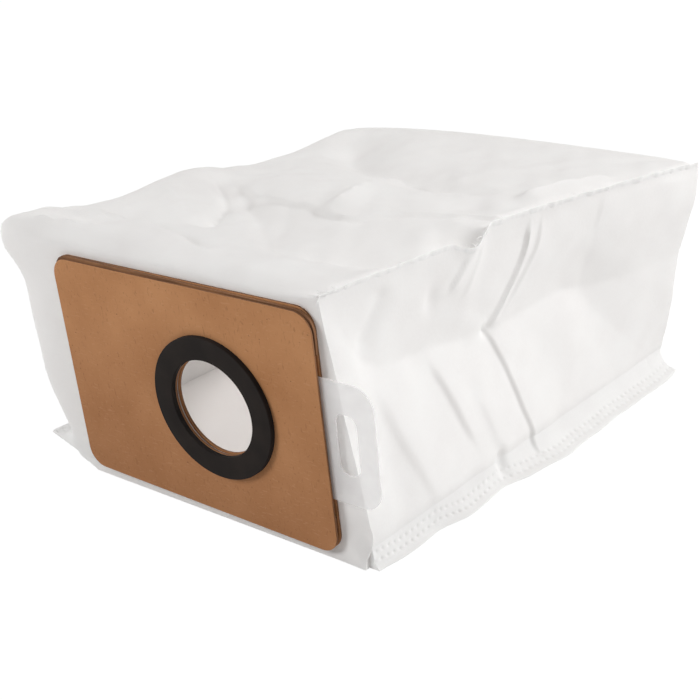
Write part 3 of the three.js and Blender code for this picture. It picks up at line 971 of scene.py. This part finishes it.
def seam_ridge():
    depth = np.arange(SEAM_ENDS[0], BAG_DEPTH - SEAM_ENDS[1], SEAM_STEP)
    sway = waves(depth, 0, *SEAM_SWAY)
    high = SEAM_HIGH + waves(depth, 0, SEAM_HIGH_WAVES)
    lean_x, lean_z = SEAM_LEAN
    lines = []
    for across, up in SEAM_SECTION:
        offset, rise = across * SEAM_THICK, up * high
        x = seam_x(depth) + offset * lean_z + rise * lean_x + sway
        z = seam_height(depth) - offset * lean_x + rise * lean_z
        lines.append(np.stack([x, depth, z], axis=-1))
    stack = np.stack(lines, axis=1)
    cloth_piece("top_seam", stack, tube_faces(*stack.shape[:2], flip=True))


# Loose fibres: depth from and to, how many. Each starts along its way and bends by its
# curl, which are drawn from ranges along x, depth and height.
FRAYED = [(0.5, 7, 30), (57, 66, 26), (1, 170, 16)]
FIBRE_WAY = [(-1.6, 0.9), (-1.6, 1.4), (0.3, 1.2)]
FIBRE_CURL = [(-0.7, 0.7), (-0.9, 0.9), (-1.2, 0.1)]
FIBRE_REACH = (1.2, 2.6)
FIBRE_LIFT = 0.2
FIBRE_RADIUS = 0.1
FIBRE_STEPS = 6
FIBRE_SIDES = 5
FIBRE_ENDS = (0.05, 0.95)
FIBRE_SEED = 71
OFF_AXIS = (0.3, 1.0, 0.2)


def unit(vectors):
    return vectors / np.linalg.norm(vectors, axis=1)[:, None]


def fibre_points(path):
    """Points of a thin tube round a path, with its ends drawn to a point."""
    ahead = unit(np.gradient(path, axis=0))
    across = unit(np.cross(ahead, OFF_AXIS))
    upright = np.cross(ahead, across)
    turns = np.linspace(0, math.tau, FIBRE_SIDES, endpoint=False)[None, :, None]
    swell = np.sqrt(np.sin(np.linspace(*FIBRE_ENDS, len(path)) * math.pi))[:, None, None]
    round_about = np.cos(turns) * across[:, None, :] + np.sin(turns) * upright[:, None, :]
    return path[:, None, :] + FIBRE_RADIUS * swell * round_about


def loose_fibres():
    rng = np.random.default_rng(FIBRE_SEED)
    t = np.linspace(0, 1, FIBRE_STEPS)[:, None]
    fibres, faces = [], []
    for first, last, count in FRAYED:
        for _ in range(count):
            depth = rng.uniform(first, last)
            root = np.array([seam_x(depth), depth, seam_height(depth) + FIBRE_LIFT])
            way = np.array([rng.uniform(*span) for span in FIBRE_WAY])
            curl = np.array([rng.uniform(*span) for span in FIBRE_CURL])
            path = root + rng.uniform(*FIBRE_REACH) * (way * t + curl * t * t)
            base = len(fibres) * FIBRE_STEPS * FIBRE_SIDES
            faces += [tuple(base + i for i in face) for face in tube_faces(FIBRE_STEPS, FIBRE_SIDES)]
            fibres.append(fibre_points(path))
    cloth_piece("seam_fibres", fibres, faces)


def rounded_outline(left, right, bottom, top, radius, steps=14, side_steps=16):
    """Rounded rectangle as points, anticlockwise from the end of its bottom side."""
    corners = [
        arc(right - radius, bottom + radius, radius, -90, 0, steps),
        arc(right - radius, top - radius, radius, 0, 90, steps),
        arc(left + radius, top - radius, radius, 90, 180, steps),
        arc(left + radius, bottom + radius, radius, 180, 270, steps),
    ]
    inner = np.linspace(0, 1, side_steps + 1)[1:-1, None]
    points = []
    for corner, following in zip(corners, corners[1:] + corners[:1]):
        points += [corner, mix(corner[-1], following[0], inner)]
    return np.concatenate(points)


def slab_rings(outline_at, hole_at, front, thickness, bevel, across=10):
    """Closed rings of a flat slab with a hole: up the bore, over the face, round the edge, back."""
    back = front + thickness
    shares = np.linspace(0, 1, across + 1)
    face = [mix(hole_at(bevel), outline_at(bevel), share) for share in shares]
    bore = [at_depth(hole_at(0), back - bevel), at_depth(hole_at(0), front + bevel)]
    edge = [at_depth(outline_at(0), front + bevel), at_depth(outline_at(0), back - bevel)]
    front_face = [at_depth(flat, front) for flat in face]
    back_face = [at_depth(flat, back) for flat in face[::-1]]
    return np.array(bore + front_face + edge + back_face)


# Cards of the collar. The front card ends a little lower, and the collar stands slightly
# askew: it leans about one height, tilts about one place across, and is true at the ring.
BOARD_BEVEL = 0.12
FRONT_CARD_DROP = 1.0
CARD_LEAN = -1.3
CARD_LEAN_HEIGHT = 0.25
CARD_RISE = 0.9
CARD_RISE_PLACE = 0.7
CARD_SAG = -1.2
CARD_WARP_GROWTH = 14.0
EDGE_NORMAL = 0.5


def card_warp(flat):
    """Small real distortions of the pressed board: its right edge leans and its edges tilt."""
    across = (flat[:, 0] - PLATE_LEFT) / (PLATE_RIGHT - PLATE_LEFT)
    up = (flat[:, 1] - PLATE_BOTTOM) / (PLATE_TOP - PLATE_BOTTOM)
    lean = CARD_LEAN * across * (up - CARD_LEAN_HEIGHT)
    rise = CARD_RISE * (across - CARD_RISE_PLACE) * up + CARD_SAG * across * (1 - up)
    away = np.hypot(flat[:, 0] - PORT_X, flat[:, 1] - PORT_Z)
    share = ease((away - RING_RADIUS) / CARD_WARP_GROWTH)
    return flat + np.stack([lean * share, rise * share], axis=-1)


def card_board(name, front, node, drop):
    """One card of the collar, with a bevel round its edges and round the port."""
    top = PLATE_TOP - drop

    def outline_at(inset):
        sides = (PLATE_LEFT + inset, PLATE_RIGHT - inset, PLATE_BOTTOM + inset, top - inset)
        return card_warp(rounded_outline(*sides, PLATE_CORNER - inset))

    def hole_at(inset):
        return port_circle(outline_at(0), PORT_RADIUS + inset)

    rings = slab_rings(outline_at, hole_at, front, BOARD, BOARD_BEVEL)
    faces = ring_faces(*rings.shape[:2], close_rows=True)
    placed = row_points(rings)
    piece = make_piece(name, placed, faces, "bag", "kraft_board", KRAFT, [node], SMOOTH_FLAT)
    piece.data.materials.append(KRAFT_EDGE_AND_SHADE)
    for face in piece.data.polygons:
        if abs(face.normal.y) < EDGE_NORMAL:
            face.material_index = 1


def card_spacer():
    """The spacer keeps its CAD solid, in the finish of the cards' cut edges, whose dark brown is
    partly painted shade of the gap between the cards.
    """
    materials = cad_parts["track_spacer"].data.materials
    materials.clear()
    materials.append(KRAFT_EDGE_AND_SHADE)


RING_POINTS = 160
RING_EDGE = 0.4


def rubber_ring():
    """Flat ring with both of its front edges rounded."""
    middle = (RING_RADIUS + PORT_RADIUS) / 2
    half = (RING_RADIUS - PORT_RADIUS) / 2
    edge = [
        (half - RING_EDGE * (1 - math.cos(t)), RING_FRONT + RING_EDGE * (1 - math.sin(t)))
        for t in np.radians([0, 25, 50, 75, 90])
    ]
    profile = [(-half, RING_BACK)] + [(-offset, depth) for offset, depth in edge] + edge[::-1]
    profile += [(offset, RING_BACK) for offset in (half, half / 2, -half / 2)]
    rings = np.array([
        at_depth(arc(PORT_X, PORT_Z, middle + offset, 0, 360, RING_POINTS)[:-1], depth)
        for offset, depth in profile
    ])
    faces = ring_faces(*rings.shape[:2], close_rows=True)
    make_piece(
        "rubber_ring", row_points(rings), faces, "bag", "seal_rubber", RUBBER, ["seal_ring"],
        SMOOTH_RUBBER,
    )


# Shutter, as in the frame: a blank end with ears, shoulders inside the mouth, and the pull tab
SHUTTER_HALF = 28.0
EAR_LENGTH = 4.0
SHOULDER_X = PLATE_RIGHT - 3.0
SHOULDER_RADIUS = 3.0
TAB_HALF = 21.7
TAB_RADIUS = 8.0
SLOT_RIGHT = TAB_END - 7.3
SLOT_WIDTH = 8.0
SLOT_HALF = 10.75
SLOT_RADIUS = 3.5
FILM_HOLE = PORT_RADIUS + 0.5
FILM_BEVEL = 0.08


def shutter_loops():
    """Outline, port hole and finger slot of the shutter, as x and height."""
    ear_x = SHUTTER_LEFT + EAR_LENGTH
    shoulder = arc(
        SHOULDER_X - SHOULDER_RADIUS, SHOULDER_RADIUS - SHUTTER_HALF, SHOULDER_RADIUS, -90, 0
    )
    tab = arc(TAB_END - TAB_RADIUS, TAB_RADIUS - TAB_HALF, TAB_RADIUS, -90, 0)
    ear = [(SHUTTER_LEFT, -EAR_HALF), (ear_x, -EAR_HALF), (ear_x, -SHUTTER_HALF)]
    lower = np.vstack([ear, shoulder, (SHOULDER_X, -TAB_HALF), tab])
    outline = np.concatenate([lower, lower[::-1] * (1, -1)]) + (0, PORT_Z)
    hole = arc(PORT_X, PORT_Z, FILM_HOLE, 0, 360, 96)[1:]
    slot = (SLOT_RIGHT - SLOT_WIDTH, SLOT_RIGHT, PORT_Z - SLOT_HALF, PORT_Z + SLOT_HALF)
    return outline, hole, rounded_outline(*slot, SLOT_RADIUS, steps=8, side_steps=4)


def shutter_sheet():
    """The loops filled as a thin sheet with bevelled edges, then stood upright."""
    curve = bpy.data.curves.new("shutter_outline", "CURVE")
    curve.dimensions = "2D"
    curve.fill_mode = "BOTH"
    curve.extrude = (SHUTTER_THICKNESS / 2 - FILM_BEVEL) * MM
    curve.bevel_depth = FILM_BEVEL * MM
    curve.bevel_resolution = 1
    curve.offset = -FILM_BEVEL * MM
    for loop in shutter_loops():
        spline = curve.splines.new("POLY")
        spline.points.add(len(loop) - 1)
        for knot, (x, z) in zip(spline.points, loop):
            knot.co = (x * MM, z * MM, 0, 1)
        spline.use_cyclic_u = True
    maker = link("shutter_outline", curve)
    bpy.context.view_layer.update()
    evaluated = maker.evaluated_get(bpy.context.evaluated_depsgraph_get())
    sheet = bpy.data.meshes.new_from_object(evaluated)
    bpy.data.objects.remove(maker)
    middle = (SHUTTER_FRONT + SHUTTER_THICKNESS / 2) * MM
    sheet.transform(Matrix.Rotation(math.pi / 2, 4, "X"))
    sheet.transform(Matrix.Translation((MIDDLE_X, CLOTH_Y + middle, 0)))
    points = [tuple(v.co) for v in sheet.vertices]
    faces = [tuple(p.vertices) for p in sheet.polygons]
    make_piece(
        "shutter_film", points, faces, "shutter", "frosted_film", FILM, ["shutter"], SMOOTH_FLAT
    )


# Camera at the photograph's angle, in bag coordinates
CAMERA_AT = (280.415, -253.405, 235.27)
AZIMUTH = 39.73
ELEVATION = 25.47
ROLL_ANGLE = 5.684
LENS = 63.74
SENSOR = 36.0
NEAREST_SEEN = 0.01


def place_camera():
    azimuth, elevation, roll = (math.radians(a) for a in (AZIMUTH, ELEVATION, ROLL_ANGLE))
    level = math.cos(elevation)
    ahead = Vector((-math.sin(azimuth) * level, math.cos(azimuth) * level, -math.sin(elevation)))
    right = Vector((math.cos(azimuth), math.sin(azimuth), 0))
    up = right.cross(ahead)
    turned_right = right * math.cos(roll) - up * math.sin(roll)
    turned_up = up * math.cos(roll) + right * math.sin(roll)
    data = bpy.data.cameras.new("photo_camera")
    data.lens = LENS
    data.sensor_width = SENSOR
    data.clip_start = NEAREST_SEEN
    camera = link("photo_camera", data)
    turn = Matrix((turned_right, turned_up, -ahead)).transposed().to_4x4()
    camera.matrix_world = Matrix.Translation(Vector(row_points(CAMERA_AT))) @ turn
    bpy.context.scene.camera = camera


# Floor, in metres. Its glow lies under the bag and fades near the bag's edge.
FLOOR_HALF = 1.5
FLOOR_LIT = 0.6
FLOOR_PLAIN = 1.06
FLOOR_PLAIN_SHARE = 0.92
GLOW_UNDER = 0.98
GLOW_AROUND = 0.2
GLOW_EDGE = (0.062, 0.085)


def floor_finish():
    """White table that keeps a soft shadow and glows under the bag."""
    finish = Finish("white_floor")
    seen = Signal(finish, finish.add("ShaderNodeLightPath", {}, {}).outputs["Is Camera Ray"])
    white = (FLOOR_LIT, FLOOR_LIT, FLOOR_LIT, 1)
    matt = finish.add("ShaderNodeBsdfDiffuse", {}, {"Color": white}).outputs[0]
    length = finish.add("ShaderNodeVectorMath", {"operation": "LENGTH"}, {0: finish.where()})
    faded = finish.spread(length.outputs["Value"], *GLOW_EDGE)
    strength = GLOW_UNDER + faded * (GLOW_AROUND - GLOW_UNDER)
    lit = finish.add("ShaderNodeAddShader", {}, {0: matt, 1: finish.emission(strength)}).outputs[0]
    plain = finish.emission(FLOOR_PLAIN)
    return finish.finish(finish.mix_shader(seen * FLOOR_PLAIN_SHARE, lit, plain))


def make_floor():
    corners = [(-1, -1), (1, -1), (1, 1), (-1, 1)]
    mesh = bpy.data.meshes.new("floor")
    mesh.from_pydata([(x * FLOOR_HALF, y * FLOOR_HALF, 0) for x, y in corners], [], [(0, 1, 2, 3)])
    mesh.materials.append(floor_finish())
    floor = link("floor", mesh)


ROOM_LIGHT = 0.15
ROOM_COLOUR = (1.0, 0.995, 0.99, 1)


def make_world():
    """Dim even light on the bag, and plain white where the world itself is seen."""
    world = bpy.data.worlds.new("studio")
    bpy.context.scene.world = world
    nodes = Nodes(world, "ShaderNodeOutputWorld")
    path = nodes.add("ShaderNodeLightPath", {}, {}).outputs
    camera, gloss, clear = (
        Signal(nodes, path[ray]) for ray in ("Is Camera Ray", "Is Glossy Ray", "Is Transmission Ray")
    )
    room, seen = (
        nodes.add("ShaderNodeBackground", {}, {"Color": colour, "Strength": strength}).outputs[0]
        for colour, strength in ((ROOM_COLOUR, ROOM_LIGHT), (WHITE, 1.0))
    )
    nodes.finish(nodes.mix_shader(camera.either(gloss).either(clear), room, seen))


# Lamps. Azimuth runs from the collar's side, 0, to the tab's side, 90. Light is how bright
# the lamp makes a white surface that faces it. Sizes and distances are metres.
LAMP_DISTANCE = 1.4
LAMP_AIM_HEIGHT = 0.05
LAMPS = [
    dict(name="rear_softbox", azimuth=195, elevation=34, size=0.5, light=0.07),
    dict(name="key_softbox", azimuth=111, elevation=34, size=0.5, light=0.77),
    dict(name="front_softbox", azimuth=-36, elevation=34, size=0.6, light=0.48),
    dict(name="left_softbox", azimuth=262, elevation=14, size=0.8, light=0.18),
]


def softbox(name, azimuth, elevation, size, light):
    """A round lamp that faces the bag."""
    turn, rise = math.radians(azimuth), math.radians(elevation)
    way = Vector((math.sin(turn) * math.cos(rise), -math.cos(turn) * math.cos(rise), math.sin(rise)))
    data = bpy.data.lights.new(name, "AREA")
    data.shape = "DISK"
    data.size = size
    data.energy = math.pi**2 * LAMP_DISTANCE**2 * light
    lamp = link(name, data)
    lamp.location = way * LAMP_DISTANCE + Vector((0, 0, LAMP_AIM_HEIGHT))
    lamp.rotation_euler = (-way).to_track_quat("-Z", "Y").to_euler()


cloth_body()
weld_flange("right_weld", right_wall, RIGHT_FREE_EDGE, 1)
weld_flange("left_weld", left_wall, LEFT_FREE_EDGE, -1)
seam_ridge()
loose_fibres()
card_board("front_card", PLATE_FRONT, "front_board", FRONT_CARD_DROP)
card_board("back_card", BACK_FRONT, "back_board", 0.0)
rubber_ring()
shutter_sheet()
card_spacer()

place_camera()
make_floor()
make_world()
for lamp in LAMPS:
    softbox(**lamp)
bpy.context.scene.view_settings.view_transform = "Standard"
